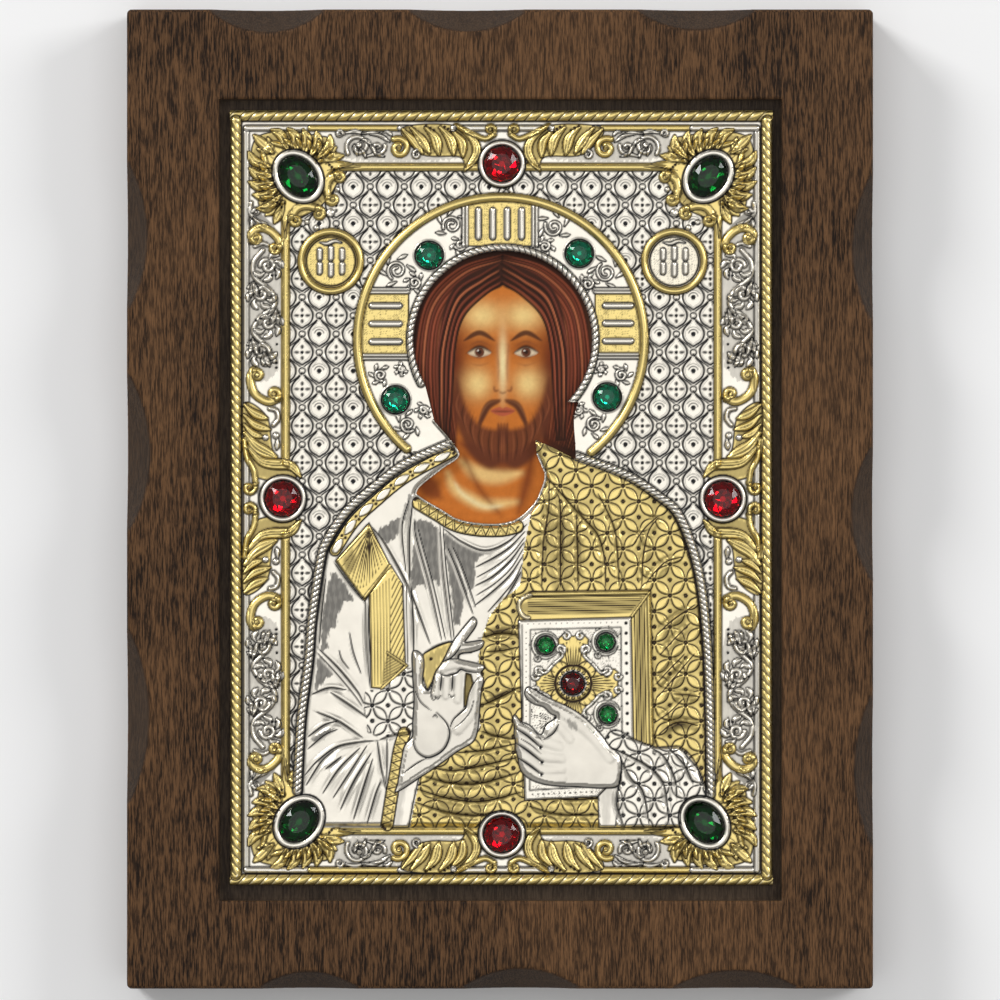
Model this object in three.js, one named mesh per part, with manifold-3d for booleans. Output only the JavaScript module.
// Icon panel: a stained wooden board with scooped edges, a painted panel lying in its recess,
// an embossed metal cover that leaves the painted head free, and the cut stones in their collets.
// Millimetres. The board lies on its flat back: +X to the viewer's right, +Y to the top of the
// picture, +Z out of the face, and the origin in the middle of the back.
import * as THREE from 'three';
import { mergeVertices } from 'three/addons/utils/BufferGeometryUtils.js';
import Module from 'manifold-3d';

const wasm = await Module();
wasm.setup();

// Driving dimensions
const GAP = 0.3;
const FINEST = 0.01;
const BOARD = { wide: 160, tall: 210, thick: 18, corner: 1 };
const RECESS = { wide: 120.6, tall: 171.8, deep: 4.5, corner: 1.5, x: 0.1, y: -0.2 };
const COVER = { wide: 116.4, tall: 166.4, corner: 0.6, x: 0.3, y: 0.3, plate: 0.8 };
const PAINTING = { wide: 112, tall: 162, thick: 1, corner: 0.6 };

const RECESS_FLOOR = BOARD.thick - RECESS.deep;
const PAINTING_BACK = RECESS_FLOOR + GAP;
const COVER_BACK = PAINTING_BACK + PAINTING.thick + GAP;
const FIELD = COVER_BACK + COVER.plate;
const SUNK = 0.35;

// Where the bands of the cover's border run, from the middle of the cover
const ROPE = { across: 2.4, reach: 0.55, strand: 0.75, high: 1.3, pitch: 4.8, lean: 0.9 };
const STRIP = { x: 54.9, y: 79.5, half: 0.65, high: 0.6 };
const BAR = { x: 46.3, y: 71, half: 0.8, high: 0.95 };

// Cut stones: half width and half height of what shows, and the collet round each
const CORNER = { x: 43.9, y: 69.2, long: 4.8, short: 3.65, rim: 1.4, tilt: 50, sides: 10, cuts: 8 };
const ROUND = { x: 47.3, y: 71.9, radius: 3.9, rim: 1.2, sides: 10, cuts: 8 };
const HALO_STONE = { radius: 2.9, rim: 0.9, sides: 8 };
const BOOK_STONE = { radius: 1.85, centre: 2.35 };
const COLLET_HIGH = 1.15;
const STONE = { foot: 0.3, girdle: 0.8, crown: 0.9, table: 0.6 };

// The halo round the head
const HALO = { x: 0.2, y: 34, ring: 30.8, half: 0.9, high: 1, inner: 19.9, from: -51, to: 229 };
const OPENING = { x: 0.6, y: 34.1, radius: 19.1, from: -44, to: 208 };
const MEDAL = { left: -36.2, right: 37.4, y: 51, ring: 6.55, half: 0.75, high: 0.8 };

// The relief figure swells like the cap of one broad egg
const SWELL = { x: 0.5, y: -62, wide: 48, tall: 88, high: 2.1 };
const FIGURE_FOOT = -70.3;
const FIGURE_EDGE = 0.75;
const BOOK = { cover: 2.5, pages: 2, edge: 0.45 };
const FOLD = { half: 1.5, high: 0.7, root: 1.1, sink: 0.15 };
const HAND = { open: 2.1, held: 2.6, finger: 1.5, slim: 1.3, high: 0.75, palm: 1.5, root: 1.4 };

// Ornament of the border and the halo
const LEAF = { half: 1.25, high: 1.1, bend: 9 };
const LEAFLET = { half: 0.95, high: 0.85 };
const STEM = { half: 0.6, high: 1 };
const SCROLL = { half: 0.5, high: 0.85, close: 0.3 };
const PLAQUE = { high: 0.45, edge: 0.25 };
const STROKE = { half: 0.45, high: 0.5 };

const FINISH = {
  wood: { color: 0x4a3524, roughness: 0.65, metalness: 0 },
  paint: { color: 0x7a3a20, roughness: 0.5, metalness: 0 },
  metal: { color: 0xd8d2c0, roughness: 0.3, metalness: 1 },
  emerald: { color: 0x0b5a2e, roughness: 0.05, metalness: 0 },
  teal: { color: 0x0e7a66, roughness: 0.05, metalness: 0 },
  leafGreen: { color: 0x14804a, roughness: 0.05, metalness: 0 },
  ruby: { color: 0xb0102e, roughness: 0.05, metalness: 0 },
  garnet: { color: 0x4a1010, roughness: 0.05, metalness: 0 },
};

const turn = (degrees) => (degrees * Math.PI) / 180;

// A closed geometry as a solid that can be joined and cut
function solid(geometry) {
  const bare = geometry.clone();
  bare.deleteAttribute('normal');
  bare.deleteAttribute('uv');
  const joined = mergeVertices(bare, 1e-4);
  return new wasm.Manifold(new wasm.Mesh({
    numProp: 3,
    vertProperties: new Float32Array(joined.attributes.position.array),
    triVerts: new Uint32Array(joined.index.array),
    tolerance: FINEST,
  }));
}

const joinAll = (solids) => solids.reduce((whole, next) => whole.add(next));

// A solid's faces, with corners closer than the finest step welded into one
function welded(body) {
  const faceted = body.getMesh();
  const raw = new THREE.BufferGeometry();
  raw.setAttribute('position', new THREE.BufferAttribute(faceted.vertProperties, 3));
  raw.setIndex(new THREE.BufferAttribute(faceted.triVerts, 1));
  const geometry = mergeVertices(raw, FINEST);
  const corners = Array.from(geometry.index.array);
  const kept = [];
  for (let at = 0; at < corners.length; at += 3) {
    const [a, b, c] = corners.slice(at, at + 3);
    if (a !== b && b !== c && c !== a) kept.push(a, b, c);
  }
  geometry.setIndex(kept);
  return geometry;
}

// A solid as a named mesh with its own material
function piece(name, body, finish) {
  const geometry = welded(body);
  geometry.computeVertexNormals();
  const mesh = new THREE.Mesh(geometry, new THREE.MeshStandardMaterial(finish));
  mesh.name = name;
  return mesh;
}

// A flat slab over an outline; an edge width above zero slopes the sides of its upper face
function slab(outline, low, high, edge = 0) {
  const shape = new THREE.Shape(outline.map(([x, y]) => new THREE.Vector2(x, y)));
  const sloped = { bevelEnabled: true, bevelThickness: edge, bevelSize: edge,
    bevelOffset: -edge, bevelSegments: 1 };
  const sides = edge > 0 ? sloped : { bevelEnabled: false };
  const geometry = new THREE.ExtrudeGeometry(shape, { depth: high - low - 2 * edge, ...sides });
  geometry.translate(0, 0, low + edge);
  return solid(geometry);
}

function roundedBlock({ wide, tall, corner }, x, y, low, high) {
  const steps = 2;
  const outline = [];
  for (let quarter = 0; quarter < 4; quarter += 1) {
    const sx = quarter === 0 || quarter === 3 ? 1 : -1;
    const sy = quarter < 2 ? 1 : -1;
    for (let step = 0; step <= steps; step += 1) {
      const angle = turn(90 * (quarter + step / steps));
      outline.push([
        x + sx * (wide / 2 - corner) + corner * Math.cos(angle),
        y + sy * (tall / 2 - corner) + corner * Math.sin(angle),
      ]);
    }
  }
  return slab(outline, low, high);
}

// Points on a circle from one angle to another, in degrees
function arc(x, y, radius, from, to, steps, endRadius = radius) {
  return Array.from({ length: steps + 1 }, (_, step) => {
    const share = step / steps;
    const angle = turn(from + (to - from) * share);
    const reach = radius + (endRadius - radius) * share;
    return [x + reach * Math.cos(angle), y + reach * Math.sin(angle)];
  });
}

// How a ridge's width and height run along it
const TAPER = {
  lens: (t) => Math.sin(Math.PI * (0.07 + 0.86 * t)),
  tail: (t) => Math.cos((Math.PI / 2) * 0.92 * t),
  even: () => 1,
};

// A bar of a given section bent along a path. The section's x runs across the path, its y is the
// height, and shape gives the width and the height at each share of the length.
function bent(section, path, steps, shape) {
  const curve = new THREE.CatmullRomCurve3(path.map(([x, y]) => new THREE.Vector3(x, y, 0)));
  const outline = new THREE.Shape(section.map(([x, y]) => new THREE.Vector2(x, y)));
  const geometry = new THREE.ExtrudeGeometry(outline, { depth: 1, steps, bevelEnabled: false });
  const points = geometry.attributes.position;
  for (let index = 0; index < points.count; index += 1) {
    const share = Math.round(points.getZ(index) * steps) / steps;
    const at = curve.getPoint(share);
    const along = curve.getTangent(share);
    const [side, level] = shape(points.getX(index), points.getY(index), share, at);
    points.setXYZ(index, at.x - along.y * side, at.y + along.x * side, level);
  }
  return solid(geometry);
}

// A raised ridge along a path of points, with a keel on top. Ground gives the surface under it,
// and root how far it reaches below that surface; half is its half width on the surface.
const KEELED = [[-1, 0], [1, 0], [0, 1]];
function ridge(path, half, high, options = {}) {
  const { taper = TAPER.lens, steps = 3, ground = () => FIELD, root = SUNK } = options;
  return bent(KEELED, path, steps, (across, up, share, at) => {
    const keel = high * taper(share);
    const foot = half * taper(share) * (1 + root / keel);
    return [across * foot, ground(at.x, at.y) + (up > 0 ? keel : -root)];
  });
}

// A pointed leaflet from root to tip: four slopes that meet in one high point
function leaflet([rootX, rootY], [tipX, tipY], half, high) {
  const long = Math.hypot(tipX - rootX, tipY - rootY);
  const geometry = new THREE.SphereGeometry(1, 4, 2);
  geometry.rotateX(Math.PI / 2);
  geometry.scale(long / 2, half, high);
  const points = geometry.attributes.position;
  for (let index = 0; index < points.count; index += 1) {
    if (points.getZ(index) < -0.1) points.setZ(index, -SUNK);
  }
  geometry.rotateZ(Math.atan2(tipY - rootY, tipX - rootX));
  geometry.translate((rootX + tipX) / 2, (rootY + tipY) / 2, FIELD);
  return solid(geometry);
}

// A low rounded mound
function mound(x, y, wide, tall, high, angle, ground = FIELD, sides = 8) {
  const geometry = new THREE.SphereGeometry(1, sides, sides / 2);
  geometry.rotateX(Math.PI / 2);
  geometry.scale(wide, tall, high);
  geometry.rotateZ(turn(angle));
  geometry.translate(x, y, ground);
  return solid(geometry);
}

// How high the swelling figure stands at a point
function swell(x, y) {
  const away = ((x - SWELL.x) / SWELL.wide) ** 2 + ((y - SWELL.y) / SWELL.tall) ** 2;
  return FIELD + SWELL.high * Math.sqrt(Math.max(0.05, 1 - away));
}

// The board, its recess and the scoops cut along its front edges
function scoop(side, middle, long, deep) {
  const outward = { top: [0, 1], bottom: [0, -1], left: [-1, 0], right: [1, 0] }[side];
  const out = new THREE.Vector3(outward[0], outward[1], 0);
  const up = new THREE.Vector3(0, 0, 1);
  const edge = new THREE.Vector3(Math.abs(outward[1]), Math.abs(outward[0]), 0);
  const slope = out.clone().sub(up).normalize();
  const away = out.clone().add(up).normalize();
  const bite = deep * Math.SQRT1_2;
  const radius = (long ** 2 / 4 + bite ** 2) / (2 * bite);
  const reach = 2 * Math.asin(long / 2 / radius);
  const facets = Math.round((2 * Math.PI) / (reach / 5));
  const cutter = new THREE.CylinderGeometry(radius, radius, 4 * deep, facets, 1);
  const across = edge.clone().cross(slope);
  const centre = new THREE.Vector3(
    outward[0] * (BOARD.wide / 2), outward[1] * (BOARD.tall / 2), BOARD.thick,
  );
  centre.addScaledVector(edge, middle).addScaledVector(away, radius - bite);
  cutter.applyMatrix4(new THREE.Matrix4().makeBasis(edge, slope, across).setPosition(centre));
  return solid(cutter);
}

function board() {
  const block = roundedBlock(BOARD, 0, 0, 0, BOARD.thick);
  const recess = roundedBlock(RECESS, RECESS.x, RECESS.y, RECESS_FLOOR, BOARD.thick + 1);
  const scoops = [
    scoop('top', -50, 26, 5.2), scoop('top', -7, 27, 5), scoop('top', 42, 27, 4.6),
    scoop('bottom', -41, 23, 3.9), scoop('bottom', 4.5, 27, 4.6), scoop('bottom', 50.5, 29, 4.2),
    scoop('left', 56.5, 34, 4.6), scoop('left', 10, 36, 5.2), scoop('left', -46.5, 40, 5),
    scoop('right', 54, 34, 4.6), scoop('right', -3, 31, 4.8), scoop('right', -58, 35, 4.2),
  ];
  return scoops.reduce((rest, cutter) => rest.subtract(cutter), block.subtract(recess));
}

function paintedPanel() {
  const back = PAINTING_BACK;
  return roundedBlock(PAINTING, COVER.x, COVER.y, back, back + PAINTING.thick);
}

// The outline of the opening that shows the painted head, neck and shoulder
const NECK_LEFT = [[-14.1, 16.7], [-10.1, 12], [-8.8, 9.2], [-11.8, 6.9], [-15, 4.5], [-18, 1.1]];
const NECKLINE = [[-16.1, -0.2], [-12.6, -2.2], [-9.1, -4.2], [-4.8, -5.1], [0, -5.2],
  [3.9, -4.1], [7.1, -1.2], [9.2, 2.4], [9, 6.8], [7.8, 9.8]];
const NECK_RIGHT = [[7.6, 12.7], [11.4, 11], [16.3, 8.5], [16, 15]];

function openingOutline() {
  const crown = arc(OPENING.x, OPENING.y, OPENING.radius, OPENING.from, OPENING.to, 26);
  return [...crown, ...NECK_LEFT, ...NECKLINE, ...NECK_RIGHT];
}

// A row of short slanted strands along one side of the border
function ropeSide(fromX, fromY, toX, toY) {
  const long = Math.hypot(toX - fromX, toY - fromY);
  const count = Math.round(long / ROPE.pitch);
  const along = [(toX - fromX) / long, (toY - fromY) / long];
  const half = ROPE.reach;
  return Array.from({ length: count }, (_, index) => {
    const at = ((index + 0.5) * long) / count;
    const middle = [fromX + along[0] * at, fromY + along[1] * at];
    const end = (way) => [
      middle[0] + way * (along[0] * half * ROPE.lean - along[1] * half),
      middle[1] + way * (along[1] * half * ROPE.lean + along[0] * half),
    ];
    const options = { steps: 1, taper: TAPER.even };
    return ridge([end(-1), end(1)], ROPE.strand, ROPE.high, options);
  });
}

// A straight band of the border: a keeled ridge round a rectangle, mitred at its corners
function band({ x, y, half, high }) {
  const foot = half * (1 + SUNK / high);
  const profile = [[-foot, -SUNK], [foot, -SUNK], [0, high], [-foot, -SUNK]];
  const square = new THREE.LatheGeometry(
    profile.map(([off, up]) => new THREE.Vector2(1 + off / 100, up)), 4,
  );
  square.rotateX(Math.PI / 2);
  square.rotateZ(turn(45));
  const points = square.attributes.position;
  for (let index = 0; index < points.count; index += 1) {
    const off = 100 * (Math.hypot(points.getX(index), points.getY(index)) - 1);
    points.setXYZ(index,
      COVER.x + Math.sign(points.getX(index)) * (x + off),
      COVER.y + Math.sign(points.getY(index)) * (y + off),
      FIELD + points.getZ(index));
  }
  return orient(square);
}

// A collet: a rim with an upright wall round the stone and a sloping outside
function collet({ x, y, long, short, rim, tilt, sides }) {
  const profile = [
    [long + GAP, FIELD - SUNK], [long + rim + SUNK, FIELD - SUNK],
    [long + GAP, FIELD + COLLET_HIGH], [long + GAP, FIELD - SUNK],
  ];
  const geometry = new THREE.LatheGeometry(profile.map(([r, z]) => new THREE.Vector2(r, z)), sides);
  geometry.rotateX(Math.PI / 2);
  geometry.scale(1, (short + rim) / (long + rim), 1);
  geometry.rotateZ(turn(tilt));
  geometry.translate(x, y, 0);
  return orient(geometry);
}

// Lathe shapes are closed but may face inwards after they are turned upright
function orient(geometry) {
  const body = solid(geometry);
  if (body.volume() > 0) return body;
  const index = geometry.index;
  for (let at = 0; at < index.count; at += 3) {
    const first = index.getX(at);
    index.setX(at, index.getX(at + 1));
    index.setX(at + 1, first);
  }
  return solid(geometry);
}

// A cut stone: flat foot, upright girdle, sloping crown and a flat table
function stone({ x, y, long, short, tilt, cuts, ground = FIELD }) {
  const foot = ground + STONE.foot;
  const girdle = foot + STONE.girdle;
  const top = girdle + STONE.crown;
  const table = long * STONE.table;
  const profile = [[0, foot], [long, foot], [long, girdle], [table, top], [0, top]];
  const geometry = new THREE.LatheGeometry(profile.map(([r, z]) => new THREE.Vector2(r, z)), cuts);
  geometry.rotateX(Math.PI / 2);
  geometry.scale(1, short / long, 1);
  geometry.rotateZ(turn(tilt));
  geometry.translate(x, y, 0);
  return orient(geometry);
}

const round = (x, y, { radius, rim, sides, cuts = 6 }) =>
  ({ x, y, long: radius, short: radius, rim, tilt: 0, sides, cuts });

const oval = (x, y, tilt) => ({ ...CORNER, x, y, tilt, finish: 'emerald' });

const STONES = {
  stone_corner_top_left: oval(0.6 - CORNER.x, CORNER.y, -CORNER.tilt),
  stone_corner_top_right: oval(0.8 + CORNER.x, CORNER.y, CORNER.tilt),
  stone_corner_bottom_left: oval(0.8 - CORNER.x, -CORNER.y, CORNER.tilt),
  stone_corner_bottom_right: oval(CORNER.x, -CORNER.y - 0.2, -CORNER.tilt),
  stone_side_top: { ...round(0.4, ROUND.y, ROUND), finish: 'ruby' },
  stone_side_bottom: { ...round(0.4, -ROUND.y, ROUND), finish: 'ruby' },
  stone_side_left: { ...round(0.7 - ROUND.x, 0.1, ROUND), finish: 'ruby' },
  stone_side_right: { ...round(0.5 + ROUND.x, 0, ROUND), finish: 'ruby' },
  stone_halo_upper_left: { ...round(-15.2, 52.3, HALO_STONE), finish: 'teal' },
  stone_halo_upper_right: { ...round(17, 52.7, HALO_STONE), finish: 'teal' },
  stone_halo_lower_left: { ...round(-22.4, 21.3, HALO_STONE), finish: 'teal' },
  stone_halo_lower_right: { ...round(23, 21.9, HALO_STONE), finish: 'teal' },
};
const BOOK_STONES = {
  stone_book_upper_left: { ...round(9.8, -31.3, BOOK_STONE), finish: 'leafGreen' },
  stone_book_upper_right: { ...round(22.7, -30.6, BOOK_STONE), finish: 'leafGreen' },
  stone_book_lower_right: { ...round(23.1, -46.1, BOOK_STONE), finish: 'leafGreen' },
  stone_book_centre: { ...round(15.6, -39.5, { radius: BOOK_STONE.centre }), finish: 'garnet' },
};

// A leaf of the border: leaflets fanned out along a stem, each a pointed ridge
function leafFan(x, y, reach, from, to, count, mirror) {
  return Array.from({ length: count }, (_, index) => {
    const angle = from + ((to - from) * index) / (count - 1);
    const bend = index < count / 2 ? -LEAF.bend : LEAF.bend;
    const at = (radius, extra) => [
      x + radius * Math.cos(turn(angle + extra)), y + radius * Math.sin(turn(angle + extra)),
    ];
    return leaflet(mirror(at(reach[0], 0)), mirror(at(reach[1], bend)), LEAF.half, LEAF.high);
  });
}

// A half leaf lying along the side of the border
function acanthus(points, count, lean, size, mirror) {
  const curve = new THREE.CatmullRomCurve3(points.map(([x, y]) => new THREE.Vector3(x, y, 0)));
  const leaflets = Array.from({ length: count }, (_, index) => {
    const share = index / count;
    const root = curve.getPoint(share);
    const along = curve.getTangent(share);
    const way = turn((Math.atan2(along.y, along.x) * 180) / Math.PI + lean);
    const long = size * (1 - 0.35 * Math.abs(share - 0.4));
    const tip = [root.x + long * Math.cos(way), root.y + long * Math.sin(way)];
    return leaflet(mirror([root.x, root.y]), mirror(tip), LEAFLET.half, LEAFLET.high);
  });
  const stem = ridge(points.map(mirror), STEM.half, STEM.high, { steps: 3, taper: TAPER.tail });
  return [stem, ...leaflets];
}

// A curling scroll, wide at its start and closing on itself
function scroll(x, y, radius, from, sweep, mirror) {
  const path = arc(x, y, radius, from, from + sweep, 8, radius * SCROLL.close);
  return ridge(path.map(mirror), SCROLL.half, SCROLL.high, { steps: 4, taper: TAPER.tail });
}

// Ornament of one quarter of the border, drawn for the upper left one
function quarterOrnament(mirror) {
  const corner = [0.6 - CORNER.x, CORNER.y];
  return [
    ...leafFan(corner[0], corner[1], [6.7, 12.2], 72, 198, 7, mirror),
    scroll(-34.6, 68.2, 2.3, 150, -330, mirror),
    scroll(-42.6, 60.2, 2.3, 120, 330, mirror),
    leaflet(mirror([-36, 73]), mirror([-29.5, 76.6]), 1.5, 0.9),
    leaflet(mirror([-48.4, 61.5]), mirror([-52, 55]), 1.5, 0.9),
    scroll(-50.2, 26.4, 3, 200, -320, mirror),
    ...acanthus([[-52, 23], [-51, 15], [-48.2, 7]], 4, 38, 5.8, mirror),
    scroll(-53.2, 3.2, 1.9, 60, 300, mirror),
    scroll(-21.4, 76, 2.1, 200, 320, mirror),
    ...acanthus([[-20, 75.6], [-13, 75.4], [-6.4, 73]], 4, 34, 4.6, mirror),
    ...[[-51.4, 46], [-50.4, 37]].map(([x, y], index) =>
      scroll(x, y, 2.3, 90 + 180 * index, 300, mirror)),
  ];
}

// A round raised rim with a keel
function rim(x, y, radius, half, high) {
  const wide = half * (1 + SUNK / high);
  const profile = [[radius - wide, -SUNK], [radius + wide, -SUNK], [radius, high],
    [radius - wide, -SUNK]];
  const geometry = new THREE.LatheGeometry(profile.map(([r, z]) => new THREE.Vector2(r, z)), 14);
  geometry.rotateX(Math.PI / 2);
  geometry.translate(x, y, FIELD);
  return orient(geometry);
}

// A raised plate of the halo or a medallion, with plain strokes on it
function plaque(left, low, right, high) {
  const outline = [[left, low], [right, low], [right, high], [left, high]];
  return slab(outline, FIELD - SUNK, FIELD + PLAQUE.high, PLAQUE.edge);
}

function strokes(x, y, half, tall, count) {
  return Array.from({ length: count }, (_, index) => {
    const at = x + half * (count === 1 ? 0 : (2 * index) / (count - 1) - 1);
    const options = { steps: 1, taper: TAPER.even, ground: () => FIELD + SUNK };
    return ridge([[at, y - tall / 2], [at, y + tall / 2]], STROKE.half, STROKE.high, options);
  });
}

function haloParts() {
  const even = { taper: TAPER.even };
  const ring = arc(HALO.x, HALO.y, HALO.ring, HALO.from, HALO.to, 28);
  const inner = arc(HALO.x, HALO.y, HALO.inner, -36, 206, 20);
  const medal = (x) => [
    rim(x, MEDAL.y, MEDAL.ring, MEDAL.half, MEDAL.high), ...strokes(x, MEDAL.y, 1.6, 5, 2),
  ];
  return [
    ridge(ring, HALO.half, HALO.high, { steps: 28, ...even }),
    ridge(inner, 0.5, 0.75, { steps: 18, ...even }),
    plaque(-7.8, 54.6, 7.7, 63.2), plaque(-29.3, 30.5, -20.9, 45), plaque(21, 30.6, 29.7, 45),
    ...strokes(0, 59, 3.6, 5, 3),
    ...strokes(-25.1, 37.8, 1.7, 7, 2), ...strokes(25.4, 37.8, 1.7, 7, 2),
    ...medal(MEDAL.left), ...medal(MEDAL.right),
  ];
}

// The relief figure: outline, cord round it, folds, hands and book
const CORD_LEFT = [[-9.8, 12.4], [-20.4, 7.5], [-27.7, 2], [-33.1, -2.9], [-37.3, -9.3],
  [-38.6, -13.5], [-40.4, -26.1], [-42.7, -47.4], [-43.5, -61.5]];
const CORD_RIGHT = [[16.5, 9.2], [27, 5.2], [34.1, 0.6], [38.7, -4], [42.6, -15.4],
  [44.4, -30], [45, -45.6], [45.2, -61.5]];

function figureOutline() {
  const under = ([x, y]) => [1.009 * x, y];
  const right = [...CORD_RIGHT].reverse().map(under);
  const down = [[-43.8, FIGURE_FOOT], [45.3, FIGURE_FOOT]];
  const neck = [...NECK_RIGHT.slice(0, 2).reverse(), ...[...NECKLINE].reverse(),
    ...[...NECK_LEFT].reverse().slice(0, 4)];
  return [...CORD_LEFT.map(under), ...down, ...right, ...neck];
}

// A fold of cloth on the swelling figure
function fold(path, half = FOLD.half, high = FOLD.high, steps = 3) {
  const ground = (x, y) => swell(x, y) - FOLD.sink;
  return ridge(path, half, high, { steps, ground, root: FOLD.root });
}

function robeFolds() {
  const elbow = [-24.8, -51.5];
  const sleeve = [[-40.2, -40], [-41, -49], [-41.4, -57], [-39.4, -64], [-33.4, -68.2]];
  const fanned = sleeve.map(([x, y]) =>
    fold([elbow, [(elbow[0] + x) / 2 - 1, (elbow[1] + y) / 2 - 2], [x, y]], 1.6, 0.8));
  const gathered = [[-18.6, -2], [-16, -6.5], [-12.5, -9.5], [-8.2, -11]].map(([x, y], index) =>
    fold([[x, y], [x - 0.6 + index, (y - 31) / 2], [-16.4 + 3 * index, -31.5]], 1.4, 0.75));
  const veed = [0, 1].map((row) => fold([
    [-6 + row, -8.5 - 4 * row], [-1.8, -13.5 - 4.5 * row], [2.6 - row * 0.4, -9 - 4 * row],
  ], 1.2, 0.6));
  const arm = [[-31.6, -20], [-34.8, -22], [-37.6, -24]].map(([x, y], index) =>
    fold([[x, y], [x - 0.6, y - 12], [x - 1.2 + index * 0.5, y - 22]], FOLD.half, 0.8));
  return [...fanned, ...gathered, ...veed, ...arm];
}

function mantleFolds() {
  const upright = [9.6, 14.2, 19.2, 24.6, 30.4].map((x, index) =>
    fold([[x, 5.5 - index], [x + 0.8, -7], [x + 0.3, -18.2]], FOLD.half, 0.65, 2));
  const side = [-27, -37, -47].map((y) =>
    fold([[34.4, y], [38, y - 3.2], [42.6, y - 3.6]], FOLD.half, FOLD.high, 2));
  const waist = [-55, -59.5, -64, -68].map((y) =>
    fold([[-16.5, y + 1.4], [-7, y - 1.2], [2.6, y + 1]], FOLD.half, FOLD.high, 2));
  const sleeve = [[31, -54], [33.5, -59.3], [33, -65]].map(([x, y]) =>
    fold([[x - 4.5, y - 1.5], [x, y - 2.4], [x + 4.4, y - 1.2]], FOLD.half, 0.75, 2));
  return [...upright, ...side, ...waist, ...sleeve];
}

// The collar, the cuff, the edges of the shoulder band and its raised patch
function trims() {
  const flat = (path, half, high) =>
    ridge(path, half, high, { steps: path.length + 1, taper: TAPER.even, ground: swell });
  const neckband = [[-18.3, 0.2], [-12.6, -3.9], [-7.7, -6.5], [0, -6.9], [5, -5.2]];
  const patch = [[-28.3, -4.9], [-35.2, -13.4], [-28.9, -21.4], [-24, -13.5]];
  return [
    flat(neckband, 1.1, 0.5), flat([[-20.9, -50.5], [-22.4, -60], [-23.9, -69.3]], 1, 0.9),
    flat([[-27.2, -17], [-27.2, -41]], 0.5, 0.7), flat([[-20.8, -16], [-20.2, -36]], 0.5, 0.7),
    slab(patch, FIELD, FIELD + SWELL.high, 0.4),
  ];
}

function book() {
  const pages = [[4.2, -26], [5.7, -20.1], [32, -19.6], [32.6, -52.4], [28.6, -56], [5.3, -64.4]];
  const cover = [[4.1, -26.1], [27.8, -25.4], [28.6, -54], [24, -61], [5.4, -64.4]];
  return [
    slab(pages, FIELD, FIELD + BOOK.pages, BOOK.edge),
    slab(cover, FIELD, FIELD + BOOK.cover, BOOK.edge),
  ];
}

// A finger: a round-backed bar along a short path, slimmer at both ends
const ROUNDED = [[-1, 0], [1, 0], [0.55, 1], [-0.55, 1]];
function finger(path, level, half = HAND.finger, high = HAND.high, steps = 2) {
  return bent(ROUNDED, path, steps, (across, up, share) => {
    const blunt = share === 0.5 ? 1 : 0.8;
    return [across * half * blunt, level + (up > 0 ? high * blunt : -HAND.root)];
  });
}

function hands() {
  const open = FIELD + HAND.open;
  const held = FIELD + HAND.held;
  const straight = (path) => finger(path, open, HAND.slim, HAND.high, 1);
  const raised = [
    straight([[-16.6, -44], [-17.6, -33.6]]), straight([[-9.4, -43.5], [-8.9, -38.3]]),
    straight([[-9.6, -38], [-4.4, -30]]), straight([[-6.2, -47], [-5.4, -37.6]]),
    finger([[-12.8, -43], [-13.2, -39], [-9.5, -36.4]], open, HAND.slim),
    finger([[-12, -37], [-8.6, -31], [-5.2, -25.6]], open, HAND.slim),
    finger([[-9, -51], [-22.4, -61.6]], open - 0.6, 4.2, 1.2, 1),
    mound(-12, -47.6, 7, 8, HAND.palm, 20, open - 0.6),
    mound(-14.9, -51, 3.9, 5, HAND.palm, 12, open - 0.3),
  ];
  const grip = [[3.9, -48], [3.6, -51.3], [4, -54.6], [4.8, -57.8]].map(([x, y]) =>
    finger([[x, y], [x + 9.5, y - 2.6]], held, HAND.finger, HAND.high, 1));
  return [
    ...raised, ...grip,
    finger([[5.8, -41.8], [12.6, -46.6], [20.6, -51.6]], held, 1.7),
    mound(17, -55.4, 8.6, 5.6, 1, -6, held - 0.2),
    finger([[20, -57], [23, -62], [23, -69.4]], open, 2.2, 1),
  ];
}

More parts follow.
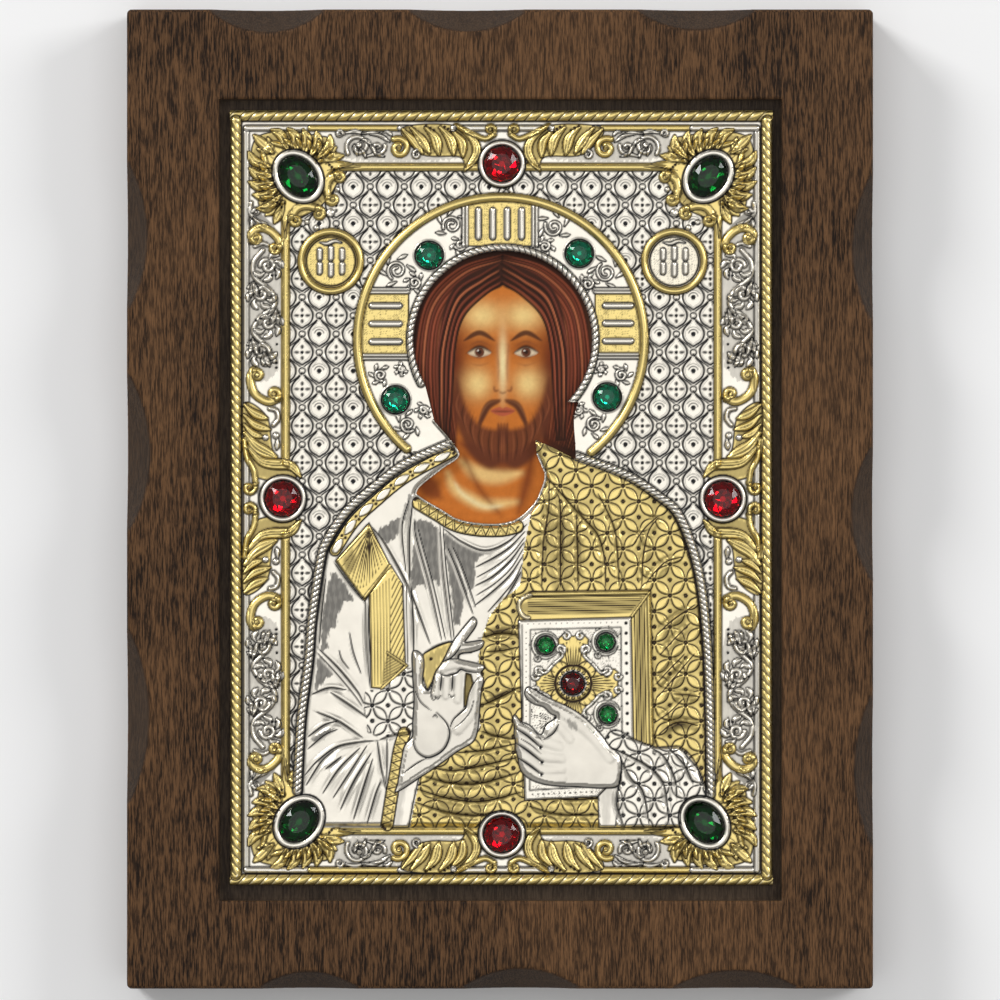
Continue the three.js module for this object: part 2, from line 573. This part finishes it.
function figure() {
  const outline = figureOutline();
  const low = slab(outline, FIELD - SUNK, FIELD + FIGURE_EDGE);
  const egg = mound(SWELL.x, SWELL.y, SWELL.wide, SWELL.tall, SWELL.high, 0, FIELD, 12);
  const tall = slab(outline, FIELD - SUNK, FIELD + 4, 0);
  const cords = [CORD_LEFT, CORD_RIGHT].map((path) =>
    ridge([...path, [1.003 * path.at(-1)[0], -66.4]], 0.95, 1.5, { steps: 12, taper: TAPER.even }));
  const dressed = joinAll([low, egg, ...robeFolds(), ...mantleFolds(), ...trims()]);
  return joinAll([dressed.intersect(tall), ...cords, ...book(), ...hands()]);
}

// The whole embossed sheet
function cover() {
  const plate = roundedBlock(COVER, COVER.x, COVER.y, COVER_BACK, FIELD);
  const left = COVER.x - COVER.wide / 2 + ROPE.across / 2;
  const right = COVER.x + COVER.wide / 2 - ROPE.across / 2;
  const low = COVER.y - COVER.tall / 2 + ROPE.across / 2;
  const high = COVER.y + COVER.tall / 2 - ROPE.across / 2;
  const mirrors = [-1, 1].flatMap((sx) => [-1, 1].map((sy) =>
    ([x, y]) => [COVER.x + sx * (x - COVER.x), COVER.y + sy * (y - COVER.y)]));
  const relief = joinAll([
    plate,
    ...ropeSide(left, low, left, high), ...ropeSide(right, low, right, high),
    ...ropeSide(left, low, right, low), ...ropeSide(left, high, right, high),
    band(STRIP), band(BAR),
    ...mirrors.flatMap(quarterOrnament),
    ...haloParts(), figure(),
  ]);
  const seats = Object.values(STONES).map((seat) => {
    const sink = new THREE.CylinderGeometry(seat.long + GAP, seat.long + GAP, 4, seat.sides);
    sink.rotateX(Math.PI / 2);
    sink.scale(1, (seat.short + GAP) / (seat.long + GAP), 1);
    sink.rotateZ(turn(seat.tilt));
    sink.translate(seat.x, seat.y, FIELD + 2);
    return solid(sink);
  });
  const opening = slab(openingOutline(), COVER_BACK - 1, FIELD + 6);
  const cut = seats.reduce((rest, seat) => rest.subtract(seat), relief.subtract(opening));
  return joinAll([cut, ...Object.values(STONES).map(collet)]);
}

const group = new THREE.Group();
group.add(piece('board', board(), FINISH.wood));
group.add(piece('painted_panel', paintedPanel(), FINISH.paint));
group.add(piece('metal_cover', cover(), FINISH.metal));
for (const [name, seat] of Object.entries(STONES)) {
  group.add(piece(name, stone(seat), FINISH[seat.finish]));
}
for (const [name, seat] of Object.entries(BOOK_STONES)) {
  const ground = FIELD + BOOK.cover;
  group.add(piece(name, stone({ ...seat, ground }), FINISH[seat.finish]));
}

export default group;
